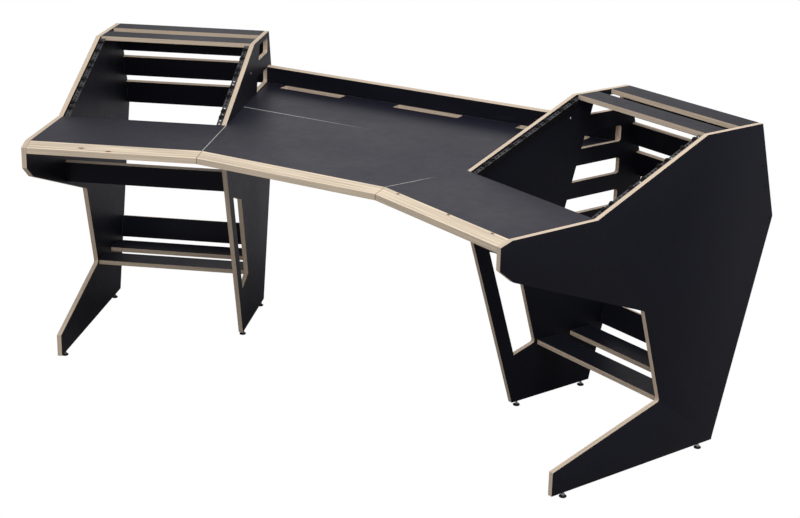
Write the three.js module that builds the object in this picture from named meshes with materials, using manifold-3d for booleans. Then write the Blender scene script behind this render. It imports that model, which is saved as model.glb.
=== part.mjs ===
// A studio desk in millimetres, +Z up. X runs to the sitter's right and Y to the rear, and the origin is
// on the floor below the middle of the desk. Two wings turn towards the sitter from a centre worktop.
// Each wing is two side panels with a worktop, a sloping rack and a low shelf between them.
import * as THREE from "three";
import { mergeVertices } from "three/addons/utils/BufferGeometryUtils.js";
import Module from "manifold-3d";

const wasm = await Module();
wasm.setup();

// Overall sizes
const sheet = 14; // thickness of every panel and board
const tableHeight = 751;
const rackHeight = 915;
const footHeight = 16; // floor to the panels' lower edges
const rackWidth = 486; // clear between a wing's two side panels
const frontLength = 597.2; // front of the centre worktop, from crease to crease
const tableDepth = 798; // centre worktop, front to rear
const wingAngle = THREE.MathUtils.degToRad(22.5);

// Clearances
const seat = 0.3; // between a board and what it meets
const runningGap = 0.05; // around a turning stem
const overrun = 5; // how far a cutter passes the face that it opens

// Wooden edging along the front: its top slopes down to a low front face
const edgingDepth = 36.6;
const edgingFall = 11.7;
const edgingFace = 17.1;
const edgingHeight = 28.8;

// Side panel outline, rearwards from the worktop's front line. The nose, chin and knee hang from the
// worktop, the shoulder from the crown, and the rest stands on the panel's lower edge.
const noseFace = 60.1; // front face of the outer panel's nose
const chinY = 9.1;
const chinDrop = 109.2;
const kneeY = 466.4;
const kneeDrop = 283.7;
const notchRound = 8;
const shinY = 549.2;
const shinRise = 174.7;
const toeY = 173.6;
const toeRise = 67.4;
const heelFoot = 771.2;
const heelY = 775.2;
const heelRise = 17.6;
const shoulderY = 940.1;
const shoulderDrop = 270.5;
const shoulderRound = 10;
const crownRear = 866;
const crownFront = 655;
const crownRound = 10;
const slopeFoot = 278.9; // where the rack's slope leaves the worktop
const slopeRound = 15;

// Inner panel: a leaning leg with a window behind it, and a column of cable openings behind the rack
const legFoot = 466;
const legTop = 235.7;
const windowBar = 48; // level width of the leg in front of the window
const windowInset = 4; // how far the window stays inside the outer panel's notch
const portCount = 4;
const portHeight = 48;
const portWeb = 49; // between two openings
const portDrop = 17; // below the crown
const portRear = 841;
const portFront = 627;
const portLean = 0.3; // how far an opening's front edge moves back for each step up
const portRound = 9;

// Boards across each rack
const topSlat = 76;
const topSlatInset = 7; // behind the slope
const shelfSlat = 80;
const shelfGap = 49;
const shelfFront = 554.5;
const shelfHeight = 181;
const rearBoardWidths = { low: 79, middle: 70, high: 72 };
const rearBoardGap = 24;
const rearBoardInset = 2; // inside the panels' leaning rear edges
const rearBoardDrop = 7.5; // the lowest one starts this far below the shoulder
const crossBoard = 72; // width of the lower rear board and of the stretcher
const lowerBoardHeight = 189.5;
const stretcherDrop = 212; // worktop to the stretcher's lower edge

// Centre worktop: two boards, with cable slots in the rear one
const boardSeam = 466.1;
const slotCount = 3;
const slotPitch = 425.3;
const slotLength = 228.8;
const slotWidth = 38.8;
const slotInset = 29.6; // behind the slots
const slotRound = 6;
const upstandHeight = 52;
const upstandSheets = 2; // one behind the other
const apronHeight = 90;
const apronGap = 34; // behind the joining plates

// Steel below the centre worktop
const platePlace = 200;
const plateLength = 120;
const plateWidth = 40;
const plateSteel = 3;
const frontBracketShare = 0.3; // from the leg's top to the board seam
const rearBracketShare = 0.74; // from the apron to the rear edge
const bracketLength = 60;
const bracketLeg = 28;
const bracketSteel = 2;

// Rack rails: steel angles sunk below the rack's slope, a whole number of rack units long
const railFace = 17.5;
const railDepth = 25;
const railSteel = 2;
const railRecess = 4.5; // below the side panels' sloping edges
const railEndGap = 5;
const rackUnitHeight = 44.45;

// Levelling feet: a threaded stem with a hexagon, in a round pad
const footSides = 24;
const stemRadius = 3;
const stemReach = 26; // into the panel
const stemTravel = 8; // bore left free above the stem
const hexSides = 6;
const hexRadius = 5.8;
const hexHeight = 4;
const padRadius = 10.3;
const padHeight = 5;
const padRim = 3;
const padFloor = 2.5; // below the stem's end
const padShoulder = 1;
const padNeck = 7;
const outerFootInset = 46.3; // from either end of an outer panel's lower edge
const innerFootInset = 25; // the same for an inner panel

const arcSteps = 5;
const weld = 1e-3;

const blackFilm = { color: 0x202024, roughness: 0.6, metalness: 0 };
const bareWood = { color: 0xd9c3a0, roughness: 0.7, metalness: 0 };
const blackSteel = { color: 0x17171a, roughness: 0.45, metalness: 0.6 };
const brightSteel = { color: 0xc4c6c8, roughness: 0.3, metalness: 1 };
const blackPlastic = { color: 0x121214, roughness: 0.7, metalness: 0 };

const boardUnderside = tableHeight - sheet - seat;

const chin = { y: chinY, z: tableHeight - chinDrop };
const knee = { y: kneeY, z: tableHeight - kneeDrop };
const shin = { y: shinY, z: footHeight + shinRise };
const toe = { y: toeY, z: footHeight + toeRise };
const heel = { y: heelY, z: footHeight + heelRise };
const shoulder = { y: shoulderY, z: rackHeight - shoulderDrop };

const slope = new THREE.Vector2(crownFront - slopeFoot, rackHeight - tableHeight);
const slopeAngle = slope.angle();
const rackUnits = Math.floor((slope.length() - railEndGap) / rackUnitHeight);

function named(name, geometry, look) {
  const mesh = new THREE.Mesh(geometry, new THREE.MeshStandardMaterial(look));
  mesh.name = name;
  return mesh;
}

// Solids and cuts

function solidOf(geometry) {
  const bare = geometry.clone();
  bare.deleteAttribute("normal");
  bare.deleteAttribute("uv");
  const merged = mergeVertices(bare, weld);
  const vertProperties = merged.getAttribute("position").array;
  const triVerts = merged.index.array;
  return new wasm.Manifold(new wasm.Mesh({ numProp: 3, vertProperties, triVerts }));
}

function geometryOf(solid) {
  const { vertProperties, triVerts } = solid.getMesh();
  const geometry = new THREE.BufferGeometry();
  geometry.setAttribute("position", new THREE.BufferAttribute(vertProperties, 3));
  geometry.setIndex(new THREE.BufferAttribute(triVerts, 1));
  geometry.computeVertexNormals();
  return geometry;
}

function cut(geometry, cutters) {
  return geometryOf(cutters.reduce((solid, cutter) => solid.subtract(solidOf(cutter)), solidOf(geometry)));
}

function join(geometry, added) {
  return geometryOf(solidOf(geometry).add(solidOf(added)));
}

// Outlines

function corner(x, y, round = 0) {
  return { point: new THREE.Vector2(x, y), round };
}

// Draws a closed outline into a shape or a hole, with an arc at each corner that has a radius.
function draw(path, corners) {
  corners.forEach(({ point, round }, i) => {
    const before = corners.at(i - 1).point.clone().sub(point).normalize();
    const after = corners[(i + 1) % corners.length].point.clone().sub(point).normalize();
    const half = before.angleTo(after) / 2;
    const reach = round / Math.tan(half);
    const start = before.clone().multiplyScalar(reach).add(point);
    const end = after.clone().multiplyScalar(reach).add(point);
    if (i === 0) path.moveTo(start.x, start.y);
    else path.lineTo(start.x, start.y);
    if (round > 0) {
      const centre = before.clone().add(after).setLength(round / Math.sin(half)).add(point);
      const from = start.sub(centre).angle();
      const to = end.sub(centre).angle();
      path.absarc(centre.x, centre.y, round, from, to, before.cross(after) > 0);
    }
  });
  path.closePath();
  return path;
}

function prism(outline, length, holes = []) {
  const shape = draw(new THREE.Shape(), outline);
  holes.forEach((hole) => shape.holes.push(draw(new THREE.Path(), hole)));
  return new THREE.ExtrudeGeometry(shape, { depth: length, bevelEnabled: false, curveSegments: arcSteps });
}

const axisX = new THREE.Vector3(1, 0, 0);
const axisY = new THREE.Vector3(0, 1, 0);
const axisZ = new THREE.Vector3(0, 0, 1);

// An outline in Y and Z, given its thickness along X.
function across(outline, from, to, holes = []) {
  const geometry = prism(outline, to - from, holes);
  return geometry.applyMatrix4(new THREE.Matrix4().makeBasis(axisY, axisZ, axisX)).translate(from, 0, 0);
}

// An outline in X and Z, given its length along Y.
function along(outline, from, to) {
  const geometry = prism(outline, to - from);
  const turn = new THREE.Matrix4().makeBasis(axisX, axisZ, axisY.clone().negate());
  return geometry.applyMatrix4(turn).translate(0, to, 0);
}

// Where the line through two corners reaches a height.
function yAt(low, high, z) {
  return THREE.MathUtils.mapLinear(z, low.z, high.z, low.y, high.y);
}

// Side panels

const crown = [
  corner(heelFoot, footHeight),
  corner(heel.y, heel.z),
  corner(shoulder.y, shoulder.z, shoulderRound),
  corner(crownRear, rackHeight),
  corner(crownFront, rackHeight, crownRound),
];

const outerOutline = [
  ...crown,
  corner(slopeFoot, tableHeight, slopeRound),
  corner(0, tableHeight),
  corner(-edgingDepth, tableHeight - edgingFall),
  corner(-edgingDepth, tableHeight - edgingFall - noseFace),
  corner(chin.y, chin.z, notchRound),
  corner(knee.y, knee.z, notchRound),
  corner(shin.y, shin.z, notchRound),
  corner(toe.y, toe.z),
  corner(toe.y, footHeight),
];

const innerOutline = [
  ...crown,
  corner(slopeFoot, tableHeight),
  corner(slopeFoot, boardUnderside),
  corner(legTop, boardUnderside),
  corner(legFoot, footHeight),
];

const legLow = { y: legFoot, z: footHeight };
const legHigh = { y: legTop, z: boardUnderside };

// The corner where two lines in the Y and Z plane cross, each given by two points.
function crossing(a, b, c, d) {
  const first = new THREE.Vector2(b.y - a.y, b.z - a.z);
  const second = new THREE.Vector2(d.y - c.y, d.z - c.z);
  const between = new THREE.Vector2(c.y - a.y, c.z - a.z);
  const share = between.cross(second) / first.cross(second);
  return { y: a.y + first.x * share, z: a.z + first.y * share };
}

function moved(point, y, z) {
  return { y: point.y + y, z: point.z + z };
}

// The window repeats the outer panel's notch behind the leg, a little smaller.
function windowOutline() {
  const barLow = moved(legLow, windowBar, 0);
  const barHigh = moved(legHigh, windowBar, 0);
  const roof = [moved(chin, 0, -windowInset), moved(knee, 0, -windowInset)];
  const back = [moved(knee, -windowInset, 0), moved(shin, -windowInset, 0)];
  const sill = [toe, shin];
  const corners = [
    crossing(...sill, barLow, barHigh),
    crossing(...sill, ...back),
    crossing(...back, ...roof),
    crossing(...roof, barLow, barHigh),
  ];
  const rounds = [0, notchRound, notchRound, 0];
  return corners.map(({ y, z }, i) => corner(y, z, rounds[i]));
}

// The openings hang from the crown, and their front edges lie on one leaning line.
function portOutline(index) {
  const pitch = portHeight + portWeb;
  const lowest = rackHeight - portDrop - portCount * pitch + portWeb;
  const low = lowest + index * pitch;
  const high = low + portHeight;
  const frontAt = (z) => portFront + portLean * (z - lowest);
  return [
    corner(frontAt(low), low),
    corner(portRear, low, portRound),
    corner(portRear, high, portRound),
    corner(frontAt(high), high),
  ];
}

// A blind bore for a levelling foot, up into a panel's lower edge.
function footBore(x, y) {
  const length = stemReach + stemTravel + overrun;
  const radius = stemRadius + runningGap;
  const bore = new THREE.CylinderGeometry(radius, radius, length, footSides);
  return bore.rotateX(Math.PI / 2).translate(x, y, footHeight - overrun + length / 2);
}

const outerPanelX = sheet + rackWidth;
const outerFeet = { front: toe.y + outerFootInset, rear: heelFoot - outerFootInset };
const innerFeet = { front: legFoot + innerFootInset, rear: heelFoot - innerFootInset };
const footPlaces = [
  ...Object.entries(outerFeet).map(([end, y]) => ({ name: `outer_${end}`, x: outerPanelX + sheet / 2, y })),
  ...Object.entries(innerFeet).map(([end, y]) => ({ name: `inner_${end}`, x: sheet / 2, y })),
];

function sidePanel(outline, x, holes = []) {
  const feet = footPlaces.filter((foot) => foot.x > x && foot.x < x + sheet);
  const bores = feet.map((foot) => footBore(foot.x, foot.y));
  return cut(across(outline, x, x + sheet, holes), bores);
}

// Boards between the side panels

const boardFrom = sheet + seat;
const boardTo = outerPanelX - seat;

// A direction in the Y and Z plane turned a quarter: forwards from an upright one, up from a level one.
function inward(direction) {
  return new THREE.Vector2(-direction.y, direction.x).normalize();
}

// A board across the rack: its lower outer edge, the way its width runs, and which side its thickness
// lies on: 1 for inward, -1 for the other one.
function rackBoard(start, direction, width, side) {
  const run = direction.clone().setLength(width);
  const thick = inward(direction).multiplyScalar(sheet * side);
  const edge = new THREE.Vector2(start.y, start.z);
  const ends = [edge, edge.clone().add(run), edge.clone().add(run).add(thick), edge.clone().add(thick)];
  return across(ends.map((end) => corner(end.x, end.y)), boardFrom, boardTo);
}

const level = new THREE.Vector2(1, 0);

function topSlats(side) {
  const starts = { front: crownFront + topSlatInset, rear: crownRear - topSlat };
  return Object.entries(starts).map(([end, y]) => {
    const start = { y, z: rackHeight - sheet };
    return named(`${side}_top_slat_${end}`, rackBoard(start, level, topSlat, 1), blackFilm);
  });
}

function shelfSlats(side) {
  const starts = { front: shelfFront, rear: shelfFront + shelfSlat + shelfGap };
  return Object.entries(starts).map(([end, y]) => {
    const start = { y, z: shelfHeight };
    return named(`${side}_shelf_slat_${end}`, rackBoard(start, level, shelfSlat, 1), blackFilm);
  });
}

// The rear boards lie just inside the panels' leaning rear edges, one above another.
function rearBoards(side) {
  const up = new THREE.Vector2(crownRear - shoulder.y, rackHeight - shoulder.z).normalize();
  let climb = -rearBoardDrop;
  return Object.entries(rearBoardWidths).map(([place, width]) => {
    const start = up.clone().multiplyScalar(climb).addScaledVector(inward(up), rearBoardInset);
    const edge = moved(shoulder, start.x, start.y);
    climb += width + rearBoardGap;
    return named(`${side}_rear_board_${place}`, rackBoard(edge, up, width, 1), blackFilm);
  });
}

function lowerRearBoard(side) {
  const up = new THREE.Vector2(shoulder.y - heel.y, shoulder.z - heel.z);
  const start = { y: yAt(heel, shoulder, lowerBoardHeight), z: lowerBoardHeight };
  return named(`${side}_lower_rear_board`, rackBoard(start, up, crossBoard, 1), blackFilm);
}

function stretcher(side) {
  const up = new THREE.Vector2(legTop - legFoot, boardUnderside - footHeight);
  const low = tableHeight - stretcherDrop;
  const start = { y: yAt(legLow, legHigh, low), z: low };
  return named(`${side}_stretcher`, rackBoard(start, up, crossBoard, -1), blackFilm);
}

function wingWorktop(side) {
  const low = tableHeight - sheet;
  const high = tableHeight;
  const rear = slopeFoot - seat;
  const outline = [corner(0, low), corner(rear, low), corner(rear, high), corner(0, high)];
  return named(`${side}_worktop`, across(outline, 0, boardTo), blackFilm);
}

// Edging: one section run between two ends, each end mitred by moving it along with Y.
function edging(name, fromAt, toAt) {
  const outline = [
    corner(-seat, tableHeight - edgingHeight),
    corner(-seat, tableHeight),
    corner(-edgingDepth, tableHeight - edgingFall),
    corner(-edgingDepth, tableHeight - edgingFall - edgingFace),
  ];
  const geometry = across(outline, 0, 1);
  const position = geometry.getAttribute("position");
  for (let i = 0; i < position.count; i += 1) {
    const y = position.getY(i);
    position.setX(i, THREE.MathUtils.lerp(fromAt(y), toAt(y), position.getX(i)));
  }
  return named(name, geometry, bareWood);
}

const mitre = Math.tan(wingAngle / 2);
const wingEdgeFrom = (y) => -y * mitre + seat;
const centreEdgeTo = (y) => frontLength / 2 + y * mitre - seat;

// Rack rails

function railGeometry() {
  const outline = [
    corner(0, -railRecess),
    corner(0, -railRecess - railDepth),
    corner(railSteel, -railRecess - railDepth),
    corner(railSteel, -railRecess - railSteel),
    corner(railFace, -railRecess - railSteel),
    corner(railFace, -railRecess),
  ];
  return along(outline, railEndGap, railEndGap + rackUnits * rackUnitHeight);
}

function rail(side, place) {
  const holder = new THREE.Group();
  holder.position.set(place === "inner" ? boardFrom : boardTo, slopeFoot, tableHeight);
  holder.rotation.x = slopeAngle;
  holder.scale.x = place === "inner" ? 1 : -1;
  holder.add(named(`${side}_rail_${place}`, railGeometry(), blackSteel));
  return holder;
}

// Levelling feet

function padGeometry() {
  const bore = stemRadius + runningGap;
  const profile = [
    new THREE.Vector2(0, 0),
    new THREE.Vector2(padRadius - padShoulder, 0),
    new THREE.Vector2(padRadius, padShoulder),
    new THREE.Vector2(padRadius, padRim),
    new THREE.Vector2(padNeck, padHeight),
    new THREE.Vector2(bore, padHeight),
    new THREE.Vector2(bore, padFloor),
    new THREE.Vector2(0, padFloor),
  ];
  return new THREE.LatheGeometry(profile, footSides).rotateX(Math.PI / 2);
}

function stemGeometry() {
  const foot = padFloor + seat;
  const length = footHeight + stemReach - foot;
  const rod = new THREE.CylinderGeometry(stemRadius, stemRadius, length, footSides);
  rod.rotateX(Math.PI / 2).translate(0, 0, foot + length / 2);
  const nut = new THREE.CylinderGeometry(hexRadius, hexRadius, hexHeight, hexSides);
  nut.rotateX(Math.PI / 2).translate(0, 0, padHeight + seat + hexHeight / 2);
  return join(rod, nut);
}

function foot(side, { name, x, y }) {
  const pair = new THREE.Group();
  pair.position.set(x, y, 0);
  pair.add(named(`${side}_foot_pad_${name}`, padGeometry(), blackPlastic));
  pair.add(named(`${side}_foot_stem_${name}`, stemGeometry(), brightSteel));
  return pair;
}

// Centre worktop: everything in it ends on the two lines where the wings begin

const apronFront = boardSeam + plateLength / 2 + apronGap;

function centreHalfAt(y) {
  return frontLength / 2 + y * Math.tan(wingAngle) - seat / Math.cos(wingAngle);
}

// A flat piece of the centre, in plan a strip from front to rear between the wings.
function centreStrip(front, rear, low, high, holes = []) {
  const outline = [
    corner(-centreHalfAt(front), front),
    corner(centreHalfAt(front), front),
    corner(centreHalfAt(rear), rear),
    corner(-centreHalfAt(rear), rear),
  ];
  return prism(outline, high - low, holes).translate(0, 0, low);
}

function slotOutline(index) {
  const middle = (index - (slotCount - 1) / 2) * slotPitch;
  const rear = tableDepth - slotInset;
  const front = rear - slotWidth;
  const left = middle - slotLength / 2;
  const right = middle + slotLength / 2;
  return [
    corner(left, front, slotRound),
    corner(right, front, slotRound),
    corner(right, rear, slotRound),
    corner(left, rear, slotRound),
  ];
}

function centre() {
  const group = new THREE.Group();
  const low = tableHeight - sheet;
  const slots = Array.from({ length: slotCount }, (_, i) => slotOutline(i));
  const rearFrom = boardSeam + seat;
  const upstandLow = tableHeight + seat;
  const upstandHigh = tableHeight + upstandHeight;
  const upstandFront = tableDepth - upstandSheets * sheet;
  const upstand = centreStrip(upstandFront, tableDepth, upstandLow, upstandHigh);
  const apron = centreStrip(apronFront, apronFront + sheet, boardUnderside - apronHeight, boardUnderside);
  group.add(
    named("centre_front_board", centreStrip(0, boardSeam, low, tableHeight), blackFilm),
    named("centre_rear_board", centreStrip(rearFrom, tableDepth, low, tableHeight, slots), blackFilm),
    named("centre_upstand", upstand, blackFilm),
    named("centre_apron", apron, blackFilm),
    edging("centre_edging", (y) => -centreEdgeTo(y), centreEdgeTo),
  );
  for (const [side, sign] of [["left", -1], ["right", 1]]) {
    const plate = new THREE.BoxGeometry(plateWidth, plateLength, plateSteel);
    plate.translate(sign * platePlace, boardSeam, boardUnderside - plateSteel / 2);
    group.add(named(`joining_plate_${side}`, plate, blackSteel));
  }
  return group;
}

// Angle brackets on an inner panel's outer face, below the centre boards.
function brackets(side) {
  const outline = [
    corner(-seat, boardUnderside),
    corner(-seat - bracketLeg, boardUnderside),
    corner(-seat - bracketLeg, boardUnderside - bracketSteel),
    corner(-seat - bracketSteel, boardUnderside - bracketSteel),
    corner(-seat - bracketSteel, boardUnderside - bracketLeg),
    corner(-seat, boardUnderside - bracketLeg),
  ];
  const alongEdge = (y) => y / Math.cos(wingAngle);
  const seam = alongEdge(boardSeam);
  const places = {
    front: THREE.MathUtils.lerp(legTop, seam, frontBracketShare),
    middle: seam,
    rear: THREE.MathUtils.lerp(alongEdge(apronFront + sheet), alongEdge(tableDepth), rearBracketShare),
  };
  return Object.entries(places).map(([place, middle]) => {
    const geometry = along(outline, middle - bracketLength / 2, middle + bracketLength / 2);
    return named(`${side}_bracket_${place}`, geometry, blackSteel);
  });
}

// One wing, built to the right of its crease line.
function wing(side) {
  const group = new THREE.Group();
  const ports = Array.from({ length: portCount }, (_, i) => portOutline(i));
  const innerPanel = sidePanel(innerOutline, 0, [windowOutline(), ...ports]);
  group.add(
    named(`${side}_inner_panel`, innerPanel, blackFilm),
    named(`${side}_outer_panel`, sidePanel(outerOutline, outerPanelX), blackFilm),
    wingWorktop(side),
    edging(`${side}_edging`, wingEdgeFrom, () => boardTo),
    ...topSlats(side),
    ...rearBoards(side),
    lowerRearBoard(side),
    ...shelfSlats(side),
    stretcher(side),
    rail(side, "inner"),
    rail(side, "outer"),
    ...brackets(side),
    ...footPlaces.map((place) => foot(side, place)),
  );
  group.position.x = frontLength / 2;
  group.rotation.z = -wingAngle;
  return group;
}

const desk = new THREE.Group();
const leftHalf = new THREE.Group();
leftHalf.scale.x = -1;
leftHalf.add(wing("left"));
desk.add(centre(), wing("right"), leftHalf);

const room = new THREE.Box3().setFromObject(desk);
desk.position.y = -(room.min.y + room.max.y) / 2;

export default desk;
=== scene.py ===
import math

import bmesh
import bpy
from mathutils import Matrix, Vector


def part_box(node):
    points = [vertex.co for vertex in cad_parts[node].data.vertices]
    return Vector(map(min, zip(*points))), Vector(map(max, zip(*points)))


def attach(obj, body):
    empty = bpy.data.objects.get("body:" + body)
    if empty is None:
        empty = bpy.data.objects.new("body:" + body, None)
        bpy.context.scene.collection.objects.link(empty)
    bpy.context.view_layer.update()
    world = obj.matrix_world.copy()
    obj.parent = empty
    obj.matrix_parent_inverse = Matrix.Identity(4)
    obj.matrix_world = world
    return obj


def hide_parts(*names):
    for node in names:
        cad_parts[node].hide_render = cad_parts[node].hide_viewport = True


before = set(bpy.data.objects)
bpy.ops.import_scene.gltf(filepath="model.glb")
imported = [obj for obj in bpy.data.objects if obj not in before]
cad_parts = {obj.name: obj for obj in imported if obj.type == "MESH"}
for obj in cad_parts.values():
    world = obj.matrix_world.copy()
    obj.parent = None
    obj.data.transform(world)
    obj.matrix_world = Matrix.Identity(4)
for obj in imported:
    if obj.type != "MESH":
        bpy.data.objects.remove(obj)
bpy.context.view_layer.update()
print("frame loaded:", len(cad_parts), "pieces")

view = {
    "place": (2.398512, -3.842414, 2.024011),
    "yaw": 30.21239,  # degrees to the left of straight ahead
    "pitch": -18.52516,
    "roll": 1.29624,
    "lens": 73.70866,
    "sensor": 36.0,
    "shiftUp": -0.04375,  # the lens axis lies a little above the picture's middle
    "nearest": 0.1,
    "farthest": 200.0,
}

desk = {
    "halfCentre": 0.2986,  # middle of the desk to a crease, at the front line
    "frontLine": -0.318845,
    "wingTurn": math.radians(22.5),
    "tableTop": 0.751,
    "rackTop": 0.915,
    "boardSeam": 0.4661,  # behind the front line
    "innerInside": 0.014,  # crease to the inner panel's side that faces the rack
    "outerInside": 0.500,
    "outerFace": 0.5140,
    "slopeFoot": 0.2789,
    "crownFront": 0.6550,
}


def wingSpot(side, across, back, height):
    c, s = math.cos(desk["wingTurn"]), math.sin(desk["wingTurn"])
    x = desk["halfCentre"] + across * c + back * s
    return Vector((side * x, desk["frontLine"] - across * s + back * c, height))


def wingWay(side, across, back, height=0.0):
    c, s = math.cos(desk["wingTurn"]), math.sin(desk["wingTurn"])
    return Vector((side * (across * c + back * s), -across * s + back * c, height)).normalized()


# Node building

def fillSockets(tree, made, values):
    for socket, value in (values or {}).items():
        if isinstance(value, bpy.types.NodeSocket):
            tree.links.new(value, made.inputs[socket])
        else:
            made.inputs[socket].default_value = value


def addNode(tree, kind, values=None, **settings):
    made = tree.nodes.new(kind)
    for name, value in settings.items():
        setattr(made, name, value)
    fillSockets(tree, made, values)
    return made


def calc(tree, operation, *values):
    return addNode(tree, "ShaderNodeMath", dict(enumerate(values)), operation=operation).outputs[0]


def vectorCalc(tree, operation, *values, out=0):
    made = addNode(tree, "ShaderNodeVectorMath", dict(enumerate(values)), operation=operation)
    return made.outputs[out]


def dot(tree, first, second):
    return vectorCalc(tree, "DOT_PRODUCT", first, second, out=1)


def scaled(tree, vector, factor):
    values = {0: vector, "Scale": factor}
    return addNode(tree, "ShaderNodeVectorMath", values, operation="SCALE").outputs[0]


def spread(tree, value, fromLow, fromHigh, toLow=0.0, toHigh=1.0):
    values = {
        "Value": value,
        "From Min": fromLow,
        "From Max": fromHigh,
        "To Min": toLow,
        "To Max": toHigh,
    }
    return addNode(tree, "ShaderNodeMapRange", values, clamp=True).outputs["Result"]


def blendColour(tree, factor, first, second):
    values = {0: factor, 6: first, 7: second}
    return addNode(tree, "ShaderNodeMix", values, data_type="RGBA").outputs[2]


def blendNumber(tree, factor, first, second):
    made = addNode(tree, "ShaderNodeMix", {0: factor, 2: first, 3: second}, data_type="FLOAT")
    return made.outputs[0]


def noise(tree, place, scale, detail=2.0, roughness=0.5):
    values = {"Vector": place, "Scale": scale, "Detail": detail, "Roughness": roughness}
    return addNode(tree, "ShaderNodeTexNoise", values).outputs["Fac"]


def shaderGroup(name, inputs, outputs):
    tree = bpy.data.node_groups.new(name, "ShaderNodeTree")
    kinds = {
        "float": "NodeSocketFloat",
        "vector": "NodeSocketVector",
        "colour": "NodeSocketColor",
    }
    for socket, (kind, value) in inputs.items():
        made = tree.interface.new_socket(name=socket, in_out="INPUT", socket_type=kinds[kind])
        made.default_value = value
    for socket, kind in outputs.items():
        tree.interface.new_socket(name=socket, in_out="OUTPUT", socket_type=kinds[kind])
    start = tree.nodes.new("NodeGroupInput").outputs
    ends = tree.nodes.new("NodeGroupOutput").inputs
    return tree, start, ends


def give(tree, ends, results):
    for socket, value in results.items():
        tree.links.new(value, ends[socket])


def useGroup(tree, group, values=None):
    made = tree.nodes.new("ShaderNodeGroup")
    made.node_tree = group
    fillSockets(tree, made, values)
    return made.outputs


def objectPlace(tree):
    return tree.nodes.new("ShaderNodeTexCoord").outputs["Object"]


def rgb(r, g, b):
    return (r, g, b, 1.0)


# Which faces of a board are its cut edges, and how deep in its thickness a point lies
cutEdge = {
    "turnedPast": 0.95,  # cosine of the angle to the board's face
}


def buildBoardSides():
    inputs = {"Face": ("vector", (0, 0, 1)), "Start": ("float", 0.0), "Thickness": ("float", 0.014)}
    outputs = {"Edge": "float", "Depth": "float"}
    tree, start, ends = shaderGroup("boardSides", inputs, outputs)
    normal = tree.nodes.new("ShaderNodeNewGeometry").outputs["True Normal"]
    facing = calc(tree, "ABSOLUTE", dot(tree, normal, start["Face"]))
    edge = calc(tree, "LESS_THAN", facing, cutEdge["turnedPast"])
    along = dot(tree, objectPlace(tree), start["Face"])
    depth = calc(tree, "DIVIDE", calc(tree, "SUBTRACT", along, start["Start"]), start["Thickness"])
    give(tree, ends, {"Edge": edge, "Depth": depth})
    return tree


# Veneers on a cut edge: long grain and end grain take turns, with a thin glue line between them
veneer = {
    "wander": 0.35,  # how far a glue line strays, in veneers
    "wanderSize": 9.0,
    "glueFrom": 0.38,  # from a veneer's middle to where its glue line starts
    "glueShare": 0.55,
    "apart": 3.7,  # moves each veneer's pattern on from its neighbour's
    "streakSize": 55.0,
    "streakShare": 0.35,
    "poreSize": 900.0,
    "pores": (0.35, 0.62),
    "poreless": 0.72,  # share of the end grain that shows no pores
    "toneSize": 5.0,
    "tone": (0.84, 1.12),
    "roughness": (0.5, 0.72),
    "poreHeight": 0.6,
    "glueHeight": 0.4,
}


def buildPlyLayers():
    inputs = {
        "Depth": ("float", 0.0),
        "Face": ("vector", (0, 0, 1)),
        "Veneers": ("float", 11.0),
        "Contrast": ("float", 1.0),
        "Long Grain": ("colour", rgb(0.72, 0.56, 0.38)),
        "End Grain": ("colour", rgb(0.50, 0.36, 0.23)),
        "Glue": ("colour", rgb(0.20, 0.12, 0.07)),
    }
    outputs = {"Color": "colour", "Roughness": "float", "Height": "float"}
    tree, start, ends = shaderGroup("plyLayers", inputs, outputs)
    place = objectPlace(tree)
    stray = calc(tree, "SUBTRACT", noise(tree, place, veneer["wanderSize"], 1.0), 0.5)
    stray = calc(tree, "MULTIPLY", stray, veneer["wander"])
    layer = calc(tree, "ADD", calc(tree, "MULTIPLY", start["Depth"], start["Veneers"]), stray)
    index = calc(tree, "FLOOR", layer)
    within = calc(tree, "SUBTRACT", layer, index)
    odd = calc(tree, "PINGPONG", index, 1.0)
    away = calc(tree, "ABSOLUTE", calc(tree, "SUBTRACT", within, 0.5))
    glue = spread(tree, away, veneer["glueFrom"], 0.5)
    apart = scaled(tree, start["Face"], calc(tree, "MULTIPLY", index, veneer["apart"]))
    own = vectorCalc(tree, "ADD", place, apart)
    streaks = noise(tree, own, veneer["streakSize"], 4.0, 0.62)
    pores = noise(tree, own, veneer["poreSize"], 2.0, 0.6)
    tone = noise(tree, own, veneer["toneSize"], 1.0)
    streaked = calc(tree, "MULTIPLY", streaks, veneer["streakShare"])
    longGrain = blendColour(tree, streaked, start["Long Grain"], start["End Grain"])
    pored = spread(tree, pores, *veneer["pores"])
    endGrain = blendColour(tree, pored, start["Glue"], start["End Grain"])
    endGrain = blendColour(tree, veneer["poreless"], endGrain, start["End Grain"])
    share = calc(tree, "MULTIPLY", odd, start["Contrast"])
    colour = blendColour(tree, share, longGrain, endGrain)
    glued = calc(tree, "MULTIPLY", glue, veneer["glueShare"])
    colour = blendColour(tree, glued, colour, start["Glue"])
    colour = scaled(tree, colour, spread(tree, tone, 0.3, 0.7, *veneer["tone"]))
    rough = spread(tree, streaks, 0.2, 0.8, *veneer["roughness"])
    poreHeight = calc(tree, "MULTIPLY", pores, calc(tree, "MULTIPLY", odd, veneer["poreHeight"]))
    height = calc(tree, "ADD", poreHeight, streaks)
    height = calc(tree, "SUBTRACT", height, calc(tree, "MULTIPLY", glue, veneer["glueHeight"]))
    give(tree, ends, {"Color": colour, "Roughness": rough, "Height": height})
    return tree


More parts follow.
